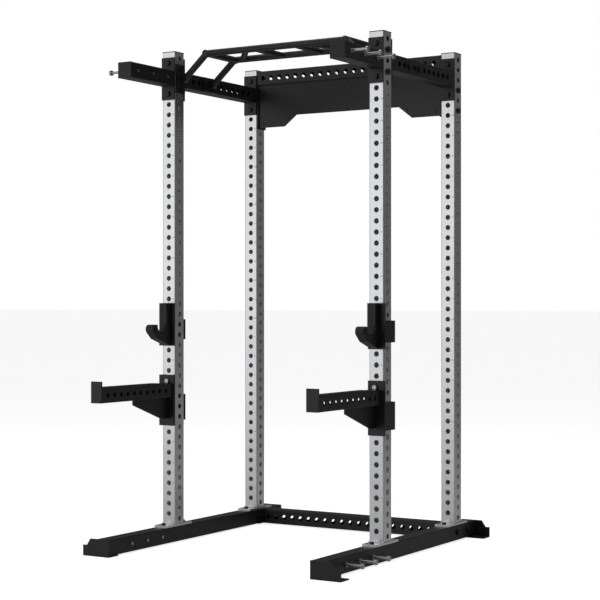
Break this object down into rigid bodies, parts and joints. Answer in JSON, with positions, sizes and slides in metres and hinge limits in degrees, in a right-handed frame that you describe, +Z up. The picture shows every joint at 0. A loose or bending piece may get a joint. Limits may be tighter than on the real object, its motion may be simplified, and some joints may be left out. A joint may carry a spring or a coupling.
{
  "type": "power cage",
  "caption": "Free-standing power cage for barbell training, with holed square uprights, a multi-grip pull-up bar, J-cups, spotter arms and band pegs.",
  "frame": {"origin": "on the floor under the middle of the bounding box", "axes": "+X to the cage's side, +Y to the back (the arms and pegs point to -Y), +Z up"},
  "size_m": [1.402, 1.545, 2.4],
  "materials": {
    "silver_steel": "brushed silver",
    "black_powder": "satin black powder coat",
    "zinc": "zinc plated",
    "black_oxide": "black oxide bolts",
    "wear_plastic": "matt wear plastic",
    "cap_plastic": "moulded cap"
  },
  "bodies": {
    "cage": {"arm_liner_left": "wear_plastic", "arm_liner_right": "wear_plastic", "arm_strip_left": "wear_plastic", "arm_strip_right": "wear_plastic", "base_pegs_left": "zinc", "base_pegs_right": "zinc", "base_rail_left": "black_powder", "base_rail_right": "black_powder", "extension_cap_left": "cap_plastic", "extension_cap_right": "cap_plastic", "foot_bolts": "black_oxide", "foot_plate_front_left": "silver_steel", "foot_plate_front_right": "silver_steel", "foot_plate_rear_left": "silver_steel", "foot_plate_rear_right": "silver_steel", "front_extension_left": "black_powder", "front_extension_right": "black_powder", "lower_cross_bolts": "black_oxide", "lower_crossmember": "black_powder", "panel_screws": "black_oxide", "pull_up_bar": "black_powder", "pull_up_bolts": "black_oxide", "rail_foot_front_left": "black_powder", "rail_foot_front_right": "black_powder", "rail_foot_rear_left": "black_powder", "rail_foot_rear_right": "black_powder", "rear_panel": "black_powder", "spotter_arm_bracket_left": "black_powder", "spotter_arm_bracket_right": "black_powder", "spotter_arm_left": "black_powder", "spotter_arm_right": "black_powder", "top_bolts": "black_oxide", "top_pegs_left": "zinc", "top_pegs_right": "zinc", "top_rail_left": "black_powder", "top_rail_right": "black_powder", "upper_cross_bolts": "black_oxide", "upper_crossmember": "black_powder", "upright_cap_front_left": "cap_plastic", "upright_cap_front_right": "cap_plastic", "upright_cap_rear_left": "cap_plastic", "upright_cap_rear_right": "cap_plastic", "upright_front_left": "silver_steel", "upright_front_right": "silver_steel", "upright_rear_left": "silver_steel", "upright_rear_right": "silver_steel"},
    "j_cup_right": {"j_cup_bracket_right": "black_powder", "j_cup_cheeks_right": "black_powder", "j_cup_core_right": "wear_plastic", "j_cup_liner_right": "wear_plastic", "j_cup_screws_right": "black_oxide"},
    "arm_pin_right": {"arm_pin_right": "zinc"},
    "j_cup_left": {"j_cup_bracket_left": "black_powder", "j_cup_cheeks_left": "black_powder", "j_cup_core_left": "wear_plastic", "j_cup_liner_left": "wear_plastic", "j_cup_screws_left": "black_oxide"},
    "arm_pin_left": {"arm_pin_left": "zinc"}
  },
  "joints": [
    {"name": "j_cup_right_off", "type": "slide", "parent": "cage", "child": "j_cup_right", "axis": [1, 0, 0], "range_m": [0, 0.092]},
    {"name": "arm_pin_right_pull", "type": "slide", "parent": "cage", "child": "arm_pin_right", "axis": [0, -1, 0], "range_m": [0, 0.08]},
    {"name": "j_cup_left_off", "type": "slide", "parent": "cage", "child": "j_cup_left", "axis": [-1, 0, 0], "range_m": [0, 0.092]},
    {"name": "arm_pin_left_pull", "type": "slide", "parent": "cage", "child": "arm_pin_left", "axis": [0, -1, 0], "range_m": [0, 0.08]}
  ]
}
